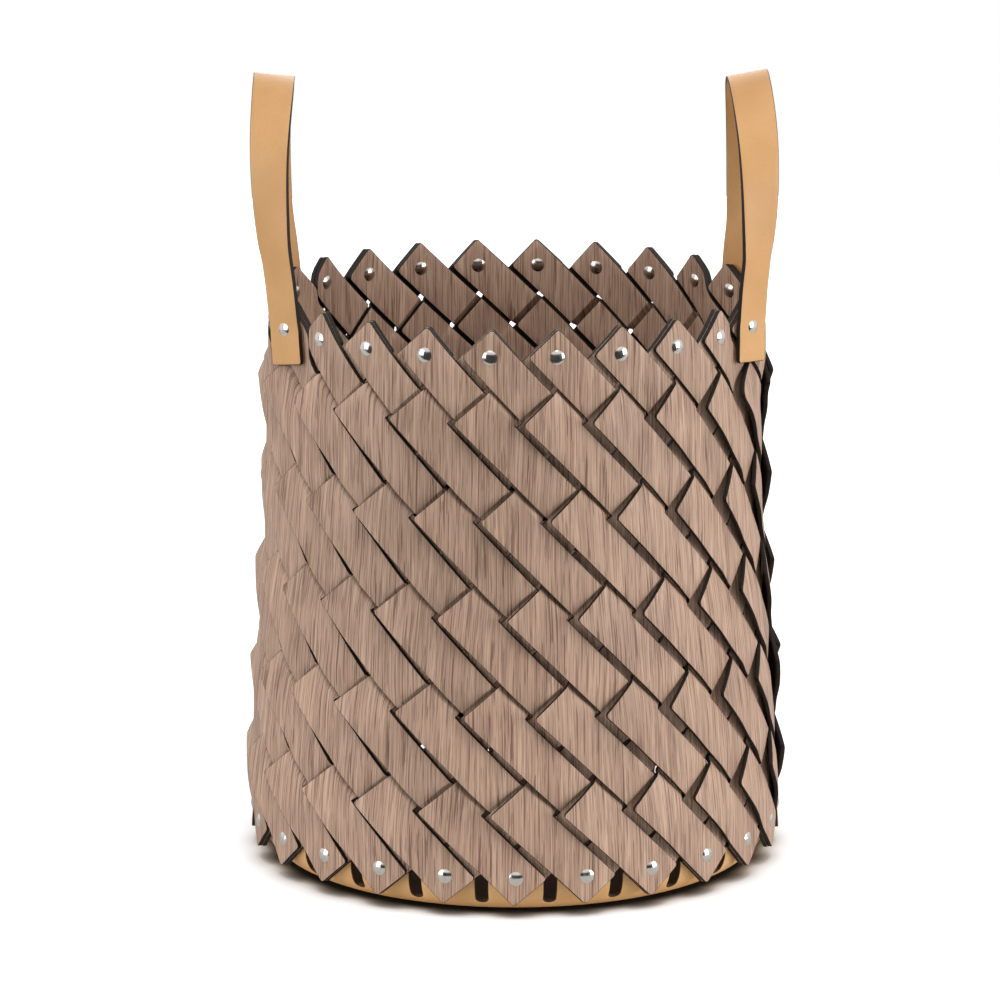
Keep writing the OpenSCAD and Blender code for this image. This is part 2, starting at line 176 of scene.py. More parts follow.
# Angle from the front axis at which the handle rivets sit, and to which the straps' ends face there. The
# wall turns with the ends: fully close to their rivets, and less beyond. Each end also leans in its own
# plane.
HANDLE_ANGLE = math.radians(67.5)
FOOT_FACES = {"left": math.radians(46), "right": math.radians(47.5)}
FOOT_LEANS = {"left": math.radians(9), "right": math.radians(4.5)}
LEAN_REACH = 12 * MM
RIPPLE_FLAT = 14 * MM
RIPPLE_FADE = 22 * MM
RIPPLE_ROWS = (0.9, 2.8)

# Wood grain: how often each layer repeats in a metre across the grain and along it, and the two values of
# its noise between which it rises
GRAIN_LAYERS = {
    "bands": (150, 4, 0.38, 0.62),
    "streaks": (640, 11, 0.44, 0.58),
    "lines": (1250, 20, 0.52, 0.57),
    "pores": (1000, 22, 0.56, 0.585),
    "patches": (12, 7, 0.3, 0.7)}
SWAY_SCALES = (14, 9, 1)
GRAIN_SWAY = 0.006
BAND_SHARE = 0.5
STREAK_SHARE = 0.55
LINE_SHARE = 0.3
LONE_PORE_SHARE = 0.62
PATCH_SHADES = (0.93, 1.06)
STREAK_RIDGE = 0.25
LINE_DIP = 0.5
STREAK_ROUGHNESS = 0.12

# Fine leather: how often its clouds, flecks and pebbles repeat in a metre, and the values between which
# clouds and flecks rise
CLOUD_SCALES = (28, 28, 28)
CLOUD_SPAN = (0.3, 0.7)
CLOUD_SHARE = 0.55
FLECK_SCALES = (420, 420, 420)
FLECK_SPAN = (0.42, 0.7)
FLECK_SHARE = 0.22
PEBBLE_SCALE = 1100
PEBBLE_HEIGHTS = (0.0, 0.6)
PEBBLE_ROUGHNESS = 0.14

# Fibres of the cut edges and wiping marks of the rivets
FIBRE_SCALES = (900, 900, 1500)
MARK_SCALES = (700, 700, 160)
MIDDLE_SPAN = (0.3, 0.7)

# Light of the world, and the dark room in front that mirrors see: it fades out between two values of the
# direction's Y, and of its Z
WORLD_LIGHT = 0.18
ROOM_LIGHT = 0.06
ROOM_DEPTH = (-0.75, 0.45)
ROOM_TOP = (0.25, 0.5)

# Softboxes: angle round the basket and elevation in degrees, distance and size in metres, power in watts
SOFTBOXES = {
    "key_light": (69, 9, 3.0, 1.6, 52),
    "fill_light": (-62, 13, 3.2, 2.0, 42),
    "top_light": (0, 66, 3.0, 2.0, 39),
    "back_light": (180, 25, 3.2, 2.4, 34)}
SOFTBOX_TARGET = Vector((0, 0, 0.25))

# Floor: its colour darkens where little is open within the contact reach, and its glow goes where little
# is open within the shade reach; both paint the basket's shadow on it
FLOOR_HALF = 1.6
FLOOR_FRONT = 0.5
FLOOR_WHITE = 0.88
FLOOR_DARK = 0.02
FLOOR_GLOW = 0.74
CONTACT_REACH = 0.018
CONTACT_OPEN = (0.2, 0.8)
SHADE_REACH = 0.08
SHADE_OPEN = (0.25, 0.92)
SHADE_SAMPLES = 16

# Camera, found by fitting the lattice of rivets to the photograph
CAMERA_AT = Vector((-118.9, -3676.8, 1117.3)) * MM
CAMERA_TILT = math.radians(76.783)
CAMERA_TURN = math.radians(-1.683)
CAMERA_LENS = 190.1
CAMERA_SENSOR = 36
CAMERA_SIGHT = 100

random_places = random.Random(DRAW_SEED)


def smoothstep(t):
    """0 below 0, 1 above 1, and a smooth step between."""
    t = max(0.0, min(1.0, t))
    return t * t * (3 - 2 * t)


def ramp(t, stations):
    """Value at t on a smooth path through (place, value) stations, level beyond both ends."""
    if t <= stations[0][0]:
        return stations[0][1]
    for (t_a, value_a), (t_b, value_b) in zip(stations, stations[1:]):
        if t <= t_b:
            return value_a + (value_b - value_a) * smoothstep((t - t_a) / (t_b - t_a))
    return stations[-1][1]


def curve_at(t, points):
    """Value at t of a smooth curve through (place, value) points, level beyond both ends."""
    t = max(points[0][0], min(points[-1][0], t))
    i = max(k for k in range(len(points) - 1) if points[k][0] <= t)
    (t_a, a), (t_b, b) = points[i], points[i + 1]
    before = points[max(0, i - 1)]
    after = points[min(len(points) - 1, i + 2)]
    slope_a = (b - before[1]) / (t_b - before[0])
    slope_b = (after[1] - a) / (after[0] - t_a)
    span = t_b - t_a
    u = (t - t_a) / span
    return (
        a * (2 * u ** 3 - 3 * u ** 2 + 1) + slope_a * span * (u ** 3 - 2 * u ** 2 + u)
        + b * (3 * u ** 2 - 2 * u ** 3) + slope_b * span * (u ** 3 - u ** 2))


def outside_r(row):
    """Outside radius of the wall at a row."""
    return curve_at(row, WALL_PROFILE)


OVER = (STRIP_T + LAYER_GAP) / 2
UNDER = -OVER
PROUD = OVER + CORNER_LIFT
TUCKED = UNDER + CORNER_LIFT
WALL_HALF_T = OVER + STRIP_T / 2

CELL_W = WAIST_R * HALF_PITCH
CELL = 2 * CELL_W * ROW_STEP / math.hypot(CELL_W, ROW_STEP)
OUTER_HALF = (1 - OUTER_GAP / CELL) / 2
INNER_HALF = (1 - INNER_GAP / CELL) / 2


def middle_r(row):
    """Radius of the surface between the two layers."""
    return outside_r(row) - WALL_HALF_T


def row_z(row):
    """Height of a row above the ground."""
    return RIM_RIVET_Z - row * ROW_STEP


def z_row(z):
    """Row at a height above the ground."""
    return (RIM_RIVET_Z - z) / ROW_STEP


def azimuth(x, row):
    """Angle round the basket: 0 faces the front, and it grows to the right."""
    return (x - 1) * HALF_PITCH + DRIFT * row / WALL_ROWS


def round_point(angle, r, z):
    """Point at an angle round the basket."""
    return Vector((r * math.sin(angle), -r * math.cos(angle), z))


def turned_between(angle):
    """The same angle between minus and plus half a turn."""
    return (angle + math.pi) % (2 * math.pi) - math.pi


def handle_feet():
    """Angle of each handle rivet, and the angle to which the strap's end faces there."""
    feet = []
    for side, sign in (("left", -1), ("right", 1)):
        face = FOOT_FACES[side]
        feet.append((sign * HANDLE_ANGLE, sign * face))
        feet.append((sign * (math.pi - HANDLE_ANGLE), sign * (math.pi - face)))
    return feet


HANDLE_FEET = handle_feet()


def handle_ripple(angle, row):
    """How far the straps' ends push the wall out, or in, at an angle round the basket and a row."""
    if row >= RIPPLE_ROWS[1]:
        return 0.0
    for rivet_angle, face_angle in HANDLE_FEET:
        away = turned_between(angle - rivet_angle) * middle_r(row)
        if abs(away) < RIPPLE_FLAT + RIPPLE_FADE:
            fade = 1 - smoothstep((abs(away) - RIPPLE_FLAT) / RIPPLE_FADE)
            fade *= 1 - smoothstep((row - RIPPLE_ROWS[0]) / (RIPPLE_ROWS[1] - RIPPLE_ROWS[0]))
            return math.tan(rivet_angle - face_angle) * away * fade
    return 0.0


def wall_point(x, row, h):
    """Point at distance h outside the wall's middle surface."""
    angle = azimuth(x, row)
    return round_point(angle, middle_r(row) + h + handle_ripple(angle, row), row_z(row))


def wall_tilt(row):
    """Angle by which the wall's outward normal tilts up."""
    return math.atan((outside_r(row + 1) - outside_r(row - 1)) / (2 * ROW_STEP))


# Cut sheets of leather

FACE = 0
EDGE = 1
INSIDE_FACE = 2


def flat_sheet(outline, roundings, thickness, edge_bevel, keep_sharp=None):
    """A flat sheet cut along an outline, centred on z 0. roundings holds a radius for each corner of the
    outline, or 0. Its faces have material FACE, and its cut edges EDGE. keep_sharp(edge) names edges of the
    outline that stay unbevelled."""
    bm = bmesh.new()
    corners = [bm.verts.new((x, y, -thickness / 2)) for x, y in outline]
    bm.faces.new(corners)
    for radius in sorted(set(roundings) - {0}):
        picked = [c for c, r in zip(corners, roundings) if r == radius]
        segments = CORNER_SEGMENTS if radius > SMALL_CORNER_R else SMALL_CORNER_SEGMENTS
        bmesh.ops.bevel(
            bm, geom=picked, offset=radius, offset_type="OFFSET", segments=segments, profile=0.5,
            affect="VERTICES", material=-1)
    made = bmesh.ops.extrude_face_region(bm, geom=bm.faces[:])
    raised = [v for v in made["geom"] if isinstance(v, bmesh.types.BMVert)]
    bmesh.ops.translate(bm, verts=raised, vec=(0, 0, thickness))
    bmesh.ops.recalc_face_normals(bm, faces=bm.faces[:])
    bm.normal_update()
    for face in bm.faces:
        face.material_index = FACE if abs(face.normal.z) > LEVEL_NORMAL_Z else EDGE
    rims = [
        e for e in bm.edges
        if e.is_manifold and len({f.material_index for f in e.link_faces}) == 2
        and not (keep_sharp and keep_sharp(e))]
    bmesh.ops.bevel(
        bm, geom=rims, offset=edge_bevel, offset_type="OFFSET", segments=EDGE_SEGMENTS, profile=0.5,
        affect="EDGES", material=EDGE, clamp_overlap=True)
    return bm


def cut_lines(bm, places, axis):
    """Cuts a flat sheet across at each place along X (axis 0) or Y (axis 1)."""
    normal = [0, 0, 0]
    normal[axis] = 1
    for place in places:
        at = [0, 0, 0]
        at[axis] = place
        bmesh.ops.bisect_plane(
            bm, geom=bm.verts[:] + bm.edges[:] + bm.faces[:], dist=CUT_REACH, plane_co=at, plane_no=normal)


def lay_on_form(bm, form, grain):
    """Moves each vertex of a flat sheet to form(x, y, z), and writes grain(x, y) as its UV place."""
    uv = bm.loops.layers.uv.new("grain")
    for v in bm.verts:
        place = grain(v.co.x, v.co.y)
        for loop in v.link_loops:
            loop[uv].uv = place
        v.co = form(*v.co)


def finish_mesh(bm, name, sharp_angle=SHARP_ANGLE):
    """Makes a mesh with outward faces, smooth but for its sharp edges."""
    bmesh.ops.recalc_face_normals(bm, faces=bm.faces[:])
    for face in bm.faces:
        face.smooth = True
    for edge in bm.edges:
        if edge.is_manifold and edge.calc_face_angle() > sharp_angle:
            edge.smooth = False
    mesh = bpy.data.meshes.new(name)
    bm.to_mesh(mesh)
    bm.free()
    return mesh


def add_piece(name, mesh, materials):
    """Puts a mesh in the scene under a name, with its materials."""
    piece = bpy.data.objects.new(name, mesh)
    bpy.context.scene.collection.objects.link(piece)
    for material in materials:
        mesh.materials.append(material)
    return piece


# Shader node helpers

def new_node(tree, kind, place, **settings):
    """Adds a node of a kind at a place, with its settings."""
    made = tree.nodes.new(kind)
    made.location = place
    for key, value in settings.items():
        setattr(made, key, value)
    return made


def set_inputs(made, **values):
    """Sets a node's inputs by name, with _ for a space."""
    for key, value in values.items():
        made.inputs[key.replace("_", " ")].default_value = value
    return made


def feed(tree, value, socket):
    """Links a value's socket to an input, or sets the input to a number or a colour."""
    if isinstance(value, bpy.types.NodeSocket):
        tree.links.new(value, socket)
    else:
        socket.default_value = value


def new_group(name, inputs, outputs):
    """An empty shader group. inputs and outputs map the name of each socket to its type."""
    tree = bpy.data.node_groups.new(name, "ShaderNodeTree")
    for in_out, sockets in (("INPUT", inputs), ("OUTPUT", outputs)):
        for key, kind in sockets.items():
            tree.interface.new_socket(name=key, in_out=in_out, socket_type="NodeSocket" + kind)
    return tree, tree.nodes.new("NodeGroupInput"), tree.nodes.new("NodeGroupOutput")


def noise_at(tree, vector, scales, place, detail=2.0):
    """Noise that repeats by a scale for each axis of a vector."""
    mapping = new_node(tree, "ShaderNodeMapping", (place[0] - 200, place[1]))
    set_inputs(mapping, Scale=scales)
    noise = new_node(tree, "ShaderNodeTexNoise", place)
    set_inputs(noise, Scale=1.0, Detail=detail)
    tree.links.new(vector, mapping.inputs["Vector"])
    tree.links.new(mapping.outputs["Vector"], noise.inputs["Vector"])
    return noise.outputs["Fac"]


def remap(tree, value, span, place, to=(0.0, 1.0)):
    """Spreads the values of a span smoothly over another, and clamps the rest."""
    made = new_node(tree, "ShaderNodeMapRange", place, interpolation_type="SMOOTHSTEP")
    set_inputs(made, From_Min=span[0], From_Max=span[1], To_Min=to[0], To_Max=to[1])
    tree.links.new(value, made.inputs["Value"])
    return made.outputs["Result"]


def math_of(tree, operation, a, b, place):
    """Result of a math operation on two sockets or numbers."""
    made = new_node(tree, "ShaderNodeMath", place, operation=operation)
    feed(tree, a, made.inputs[0])
    feed(tree, b, made.inputs[1])
    return made.outputs["Value"]


# Sockets of a Mix node that mixes colours
MIX_SHARE = 0
MIX_A = 6
MIX_B = 7
MIX_RESULT = 2


def mix_colours(tree, share, a, b, place, blend="MIX"):
    """Mix of two colour sockets or colours by a share."""
    made = new_node(tree, "ShaderNodeMix", place, data_type="RGBA", blend_type=blend)
    feed(tree, share, made.inputs[MIX_SHARE])
    feed(tree, a, made.inputs[MIX_A])
    feed(tree, b, made.inputs[MIX_B])
    return made.outputs[MIX_RESULT]


def srgb(red, green, blue):
    """Linear colour of an sRGB colour given from 0 to 255."""
    def linear(c):
        c = c / 255
        return c / 12.92 if c <= 0.04045 else ((c + 0.055) / 1.055) ** 2.4
    return (linear(red), linear(green), linear(blue), 1.0)


def wood_grain_group():
    """Vertical wood grain: soft bands, long streaks, fine lines and short dark pores, along Y of the
    vector. Pores away from the bands are fainter."""
    tree, given, out = new_group(
        "wood grain",
        {"Vector": "Vector", "Light": "Color", "Middle": "Color", "Dark": "Color", "Pore Depth": "Float"},
        {"Colour": "Color", "Height": "Float", "Roughness": "Float"})
    vector = given.outputs["Vector"]
    sway = noise_at(tree, vector, SWAY_SCALES, (-900, 300), detail=1.0)
    sway_offset = math_of(tree, "MULTIPLY", sway, GRAIN_SWAY, (-720, 300))
    sway_vector = new_node(tree, "ShaderNodeCombineXYZ", (-560, 300))
    tree.links.new(sway_offset, sway_vector.inputs["X"])
    swayed = new_node(tree, "ShaderNodeVectorMath", (-400, 200), operation="ADD")
    tree.links.new(vector, swayed.inputs[0])
    tree.links.new(sway_vector.outputs["Vector"], swayed.inputs[1])

    layers = {}
    for i, (name, (across, along, low, high)) in enumerate(GRAIN_LAYERS.items()):
        level = 400 - 250 * i
        noise = noise_at(tree, swayed.outputs["Vector"], (across, along, 1), (0, level))
        layers[name] = remap(tree, noise, (low, high), (200, level))

    light = given.outputs["Light"]
    middle = given.outputs["Middle"]
    dark = given.outputs["Dark"]
    band_share = math_of(tree, "MULTIPLY", layers["bands"], BAND_SHARE, (420, 500))
    tone = mix_colours(tree, band_share, light, middle, (420, 400))
    streak_share = math_of(tree, "MULTIPLY", layers["streaks"], STREAK_SHARE, (420, 150))
    tone = mix_colours(tree, streak_share, tone, middle, (600, 300))
    line_share = math_of(tree, "MULTIPLY", layers["lines"], LINE_SHARE, (420, -100))
    tone = mix_colours(tree, line_share, tone, dark, (780, 200))
    pore_share = math_of(tree, "MULTIPLY", layers["pores"], given.outputs["Pore Depth"], (420, -350))
    crowding = remap(tree, layers["bands"], (0.0, 1.0), (420, -480), to=(LONE_PORE_SHARE, 1.0))
    pore_share = math_of(tree, "MULTIPLY", pore_share, crowding, (600, -420))
    tone = mix_colours(tree, pore_share, tone, dark, (960, 100))
    shade = remap(tree, layers["patches"], (0.0, 1.0), (420, -600), to=PATCH_SHADES)
    shade_colour = new_node(tree, "ShaderNodeCombineColor", (600, -600))
    for socket in ("Red", "Green", "Blue"):
        tree.links.new(shade, shade_colour.inputs[socket])
    tone = mix_colours(tree, 1.0, tone, shade_colour.outputs["Color"], (1140, 0), blend="MULTIPLY")
    tree.links.new(tone, out.inputs["Colour"])

    fine_dips = math_of(tree, "MULTIPLY", layers["lines"], LINE_DIP, (600, -200))
    dips = math_of(tree, "ADD", fine_dips, layers["pores"], (780, -250))
    ridges = math_of(tree, "MULTIPLY", layers["streaks"], STREAK_RIDGE, (780, -400))
    height = math_of(tree, "SUBTRACT", ridges, dips, (960, -300))
    tree.links.new(height, out.inputs["Height"])
    roughness = math_of(tree, "MULTIPLY", layers["streaks"], STREAK_ROUGHNESS, (960, -500))
    tree.links.new(roughness, out.inputs["Roughness"])
    out.location = (1400, 0)
    return tree


def leather_group():
    """Fine leather: soft mottling, faint pebbles and a few darker flecks."""
    tree, given, out = new_group(
        "fine leather",
        {"Vector": "Vector", "Light": "Color", "Dark": "Color", "Pebble Scale": "Float"},
        {"Colour": "Color", "Height": "Float"})
    vector = given.outputs["Vector"]
    clouds = remap(tree, noise_at(tree, vector, CLOUD_SCALES, (0, 400), detail=4.0), CLOUD_SPAN, (200, 400))
    flecks = remap(tree, noise_at(tree, vector, FLECK_SCALES, (0, 150), detail=3.0), FLECK_SPAN, (200, 150))
    pebbles = new_node(tree, "ShaderNodeTexVoronoi", (0, -150), feature="SMOOTH_F1")
    tree.links.new(vector, pebbles.inputs["Vector"])
    tree.links.new(given.outputs["Pebble Scale"], pebbles.inputs["Scale"])
    cloud_share = math_of(tree, "MULTIPLY", clouds, CLOUD_SHARE, (400, 400))
    fleck_share = math_of(tree, "MULTIPLY", flecks, FLECK_SHARE, (400, 150))
    tone = mix_colours(tree, cloud_share, given.outputs["Light"], given.outputs["Dark"], (600, 300))
    tone = mix_colours(tree, fleck_share, tone, given.outputs["Dark"], (800, 200))
    tree.links.new(tone, out.inputs["Colour"])
    grain = math_of(tree, "SUBTRACT", pebbles.outputs["Distance"], fleck_share, (600, -150))
    tree.links.new(grain, out.inputs["Height"])
    out.location = (1000, 0)
    return tree


WOOD_GRAIN = wood_grain_group()
FINE_LEATHER = leather_group()


def new_material(name):
    """A material with nodes, and its surface shader."""
    material = bpy.data.materials.new(name)
    material.use_nodes = True
    tree = material.node_tree
    return material, tree, tree.nodes["Principled BSDF"]


def place_group(tree, group, place, **values):
    """Places a group in a material, with its own values."""
    made = new_node(tree, "ShaderNodeGroup", place)
    made.node_tree = group
    return set_inputs(made, **values)


def add_bump(tree, height, surface, strength, distance):
    """Feeds a height to a surface's normal."""
    bump = new_node(tree, "ShaderNodeBump", (-200, -300))
    set_inputs(bump, Strength=strength, Distance=distance)
    tree.links.new(height, bump.inputs["Height"])
    tree.links.new(bump.outputs["Normal"], surface.inputs["Normal"])


def strip_face_material():
    """Taupe leather with a vertical wood grain."""
    material, tree, surface = new_material("taupe_grain_leather")
    uv = new_node(tree, "ShaderNodeUVMap", (-900, 0), uv_map="grain")
    grain = place_group(
        tree, WOOD_GRAIN, (-600, 0), Light=srgb(214, 180, 156), Middle=srgb(178, 144, 124),
        Dark=srgb(94, 64, 50), Pore_Depth=0.68)
    tree.links.new(uv.outputs["UV"], grain.inputs["Vector"])
    tree.links.new(grain.outputs["Colour"], surface.inputs["Base Color"])
    roughness = math_of(tree, "ADD", grain.outputs["Roughness"], 0.5, (-300, 100))
    tree.links.new(roughness, surface.inputs["Roughness"])
    set_inputs(surface, Specular_IOR_Level=0.32)
    add_bump(tree, grain.outputs["Height"], surface, strength=0.35, distance=0.25 * MM)
    return material


def cut_edge_and_painted_shade_material():
    """Dark painted cut edges, with the fibres just showing. The strips also carry it on the backs of their
    outer legs as painted shade.
    """
    material, tree, surface = new_material("dark_cut_edge_and_painted_shade")
    place = new_node(tree, "ShaderNodeTexCoord", (-900, 0))
    fibres = noise_at(tree, place.outputs["Object"], FIBRE_SCALES, (-600, 0), detail=3.0)
    tone = mix_colours(tree, fibres, srgb(20, 15, 12), srgb(46, 36, 30), (-350, 100))
    tree.links.new(tone, surface.inputs["Base Color"])
    roughness = remap(tree, fibres, MIDDLE_SPAN, (-350, -100), to=(0.5, 0.75))
    tree.links.new(roughness, surface.inputs["Roughness"])
    set_inputs(surface, Specular_IOR_Level=0.25)
    add_bump(tree, fibres, surface, strength=0.4, distance=0.2 * MM)
    return material


def tan_leather_material(name, light, dark, least_roughness):
    """Natural tan leather, softly mottled."""
    material, tree, surface = new_material(name)
    place = new_node(tree, "ShaderNodeTexCoord", (-900, 0))
    leather = place_group(tree, FINE_LEATHER, (-600, 0), Light=light, Dark=dark, Pebble_Scale=PEBBLE_SCALE)
    tree.links.new(place.outputs["Object"], leather.inputs["Vector"])
    tree.links.new(leather.outputs["Colour"], surface.inputs["Base Color"])
    roughness = remap(
        tree, leather.outputs["Height"], PEBBLE_HEIGHTS, (-300, 100),
        to=(least_roughness, least_roughness + PEBBLE_ROUGHNESS))
    tree.links.new(roughness, surface.inputs["Roughness"])
    set_inputs(surface, Specular_IOR_Level=0.4)
    add_bump(tree, leather.outputs["Height"], surface, strength=0.25, distance=0.15 * MM)
    return material


def nickel_material():
    """Polished nickel with faint wiping marks."""
    material, tree, surface = new_material("polished_nickel")
    place = new_node(tree, "ShaderNodeTexCoord", (-900, 0))
    marks = noise_at(tree, place.outputs["Object"], MARK_SCALES, (-600, 0), detail=4.0)
    tone = mix_colours(tree, marks, srgb(194, 190, 184), srgb(220, 217, 211), (-350, 100))
    tree.links.new(tone, surface.inputs["Base Color"])
    roughness = remap(tree, marks, MIDDLE_SPAN, (-350, -100), to=(0.12, 0.22))
    tree.links.new(roughness, surface.inputs["Roughness"])
    set_inputs(surface, Metallic=1.0)
    add_bump(tree, marks, surface, strength=0.12, distance=0.1 * MM)
    return material


STRIP_FACE = strip_face_material()
DARK_EDGE_AND_PAINTED_SHADE = cut_edge_and_painted_shade_material()
STRAP_FACE = tan_leather_material("tan_strap_leather", srgb(228, 176, 118), srgb(212, 158, 100), 0.42)
BASE_FACE = tan_leather_material("tan_base_leather", srgb(238, 190, 130), srgb(222, 170, 108), 0.45)
BASE_INSIDE = tan_leather_material("dark_base_inside", srgb(72, 48, 34), srgb(52, 33, 23), 0.65)
BASE_EDGE = tan_leather_material("raw_base_edge", srgb(88, 60, 38), srgb(58, 38, 24), 0.6)
NICKEL = nickel_material()


# Strips

def leg_falls(j, first_side):
    """Whether leg j of a strip falls to the right, and so ends at a corner on its right. The strip's first
    corner is on the right (1) or on the left (-1)."""
    return (j % 2 == 0) == (first_side > 0)


def strip_corners(first_side):
    """Corner places (s, v) of a strip."""
    s, v = (END_CELLS, 0) if first_side > 0 else (0, -END_CELLS)
    corners = [(s, v)]
    for j in range(1, CORNER_COUNT):
        s, v = (s + LEG_CELLS, v) if leg_falls(j, first_side) else (s, v - LEG_CELLS)
        corners.append((s, v))
    return corners


def corner_at(corners, s, v):
    """Number of the corner that holds a place on the flat strip, or None."""
    for j, (corner_s, corner_v) in enumerate(corners):
        if abs(s - corner_s) <= INNER_HALF + CELL_REACH and abs(v - corner_v) <= OUTER_HALF + CELL_REACH:
            return j
    return None


def leg_at(corners, s, v):
    """Number of the leg that holds a place on the flat strip outside its corners."""
    return sum(1 for corner_s, corner_v in corners if corner_s - corner_v < s - v)


def strip_ends(first_side):
    """Places (s, v) of a strip's ends, just past its rim rivet and just past its base rivet."""
    rim = RIM_MARGIN / CELL
    base = BASE_MARGIN / CELL
    last = WALL_ROWS / 2
    if first_side > 0:
        return (-rim, 0), (last, -last - base)
    return (0, rim), (last + base, -last)


def strip_outline(first_side):
    """Corners of a flat strip's outline in metres, with the radius that rounds each."""
    half = Vector((INNER_HALF, OUTER_HALF))
    corners = strip_corners(first_side)
    start, end = strip_ends(first_side)
    start_falls = first_side > 0
    end_falls = not start_falls
    right = []
    left = []
    for (s, v), falls in ((start, start_falls), (end, end_falls)):
        across = Vector((0, OUTER_HALF)) if falls else Vector((INNER_HALF, 0))
        right.append((Vector((s, v)) + across, CORNER_ROUND))
        left.append((Vector((s, v)) - across, CORNER_ROUND))
    for j, corner in enumerate(corners):
        on_right = leg_falls(j, first_side)
        place = Vector(corner)
        right.insert(-1, (place + half, CORNER_ROUND if on_right else INNER_CORNER_ROUND))
        left.insert(-1, (place - half, INNER_CORNER_ROUND if on_right else CORNER_ROUND))
    ring = right + left[::-1]
    return [(p.x * CELL, p.y * CELL) for p, _ in ring], [r for _, r in ring]


def falling_heights():
    """Height along a falling leg, by cells from the left corner that it leaves."""
    return [(INNER_HALF, PROUD), (LEG_CELLS / 2, OVER), (LEG_CELLS - 1 + INNER_HALF, OVER),
            (LEG_CELLS - INNER_HALF, TUCKED)]


def returning_heights():
    """Height along a returning leg, by cells from the right corner that it leaves."""
    return [(OUTER_HALF, TUCKED), (1 - OUTER_HALF, UNDER), (LEG_CELLS - 1 + OUTER_HALF, UNDER),
            (LEG_CELLS - OUTER_HALF, PROUD)]


def edge_lift(j, along, across, lifts):
    """Lift near left corner j and on the leg that leaves it, by cells along that leg and across it from the
    corner. lifts holds the tip's and the edge's lift for each corner."""
    tip_lift, mid_lift = lifts[j]
    share = max(0.0, min(1.0, (OUTER_HALF - across) / (2 * OUTER_HALF)))
    fall = (TIP_LIFT_END - max(along, -INNER_HALF)) / (TIP_LIFT_END + INNER_HALF)
    lift = mid_lift + (tip_lift - mid_lift) * max(0.0, fall) ** TIP_LIFT_POWER
    start, end = LAST_LEG_DOWN_CELLS if j == CORNER_COUNT - 1 else LEG_DOWN_CELLS
    return lift * share * (1 - smoothstep((along - start) / (end - start)))


def strip_height(s, v, first_side, lifts):
    """Height of a strip's middle surface over the wall's at a place on the flat strip."""
    corners = strip_corners(first_side)
    j = corner_at(corners, s, v)
    if j is not None:
        if leg_falls(j, first_side):
            return TUCKED
        return PROUD + edge_lift(j, s - corners[j][0], v - corners[j][1], lifts)
    leg = leg_at(corners, s, v)
    falls = leg_falls(leg, first_side)
    stations = falling_heights() if falls else returning_heights()
    if leg == 0:
        # The first leg ends as the others do, and starts level at the rim
        along = (s if falls else -v) + (LEG_CELLS - END_CELLS)
        return ramp(along, stations[2:])
    if leg == CORNER_COUNT:
        # The last leg starts as the others do, and ends level at the base
        stations = stations[:2]
    corner_s, corner_v = corners[leg - 1]
    if falls:
        return ramp(s - corner_s, stations) + edge_lift(leg - 1, s - corner_s, v - corner_v, lifts)
    return ramp(corner_v - v, stations)


def in_outer_layer(s, v, first_side):
    """Whether a place on the flat strip lies on a falling leg or on a left corner."""
    corners = strip_corners(first_side)
    j = corner_at(corners, s, v)
    if j is not None:
        return not leg_falls(j, first_side)
    return leg_falls(leg_at(corners, s, v), first_side)


def flat_strip(first_side):
    """The flat sheet of a strip whose first corner is on the given side, cut finely enough to bend. The
    back of its outer legs is painted as dark as its edges: painted shade for the shadow it lies in."""
    outline, roundings = strip_outline(first_side)
    bm = flat_sheet(outline, roundings, STRIP_T, STRIP_EDGE_BEVEL)
    for axis, half in ((0, INNER_HALF), (1, OUTER_HALF)):
        shares = [-half + 2 * half * i / CUTS_PER_CELL for i in range(CUTS_PER_CELL + 1)]
        shares += [half + (1 - 2 * half) * i / CUTS_PER_GAP for i in range(1, CUTS_PER_GAP)]
        first = -1 if axis == 0 else -WALL_ROWS // 2 - 1
        cells = range(first, first + WALL_ROWS // 2 + 3)
        cut_lines(bm, [(cell + share) * CELL for cell in cells for share in shares], axis)
    # Painted shade: the backs of the outer legs take the dark edge colour, standing in for their shadow.
    for face in bm.faces:
        place = face.calc_center_median()
        if face.material_index == FACE and place.z < 0 and in_outer_layer(
                place.x / CELL, place.y / CELL, first_side):
            face.material_index = EDGE
    return bm


def lay_strip(flat, name, k, first_side):
    """Lays a copy of the flat strip on the wall as strip k, with its own lifts and stretch of grain."""
    bm = flat.copy()
    lifts = [
        (TIP_LIFT + random_places.uniform(-1, 1) * TIP_LIFT_SPREAD,
         EDGE_LIFT + random_places.uniform(-1, 1) * EDGE_LIFT_SPREAD) for _ in range(CORNER_COUNT)]
    shift = Vector((random_places.uniform(0, GRAIN_SHIFT), random_places.uniform(0, GRAIN_SHIFT)))
    turn = Matrix.Rotation(math.radians(random_places.uniform(-GRAIN_TURN, GRAIN_TURN)), 2)

    def form(x, y, z):
        s, v = x / CELL, y / CELL
        return wall_point(2 * k + s + v, s - v, strip_height(s, v, first_side, lifts) + z)

    def grain(x, y):
        s, v = x / CELL, y / CELL
        return turn @ Vector((azimuth(s + v, s - v) * WAIST_R, row_z(s - v))) + shift

    lay_on_form(bm, form, grain)
    return finish_mesh(bm, name)


def add_strips(set_name, first_side):
    """The 24 strips of a set, each from a copy of one flat sheet."""
    flat = flat_strip(first_side)
    for k in range(STRIP_COUNT):
        name = f"{set_name}_strip_{k + 1:02d}"
        piece = add_piece(name + "_leather", lay_strip(flat, name, k, first_side), [STRIP_FACE, DARK_EDGE_AND_PAINTED_SHADE])
        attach(piece, "basket")
        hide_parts(name)
    flat.free()


add_strips("outside", 1)
add_strips("inside", -1)


# Rivets

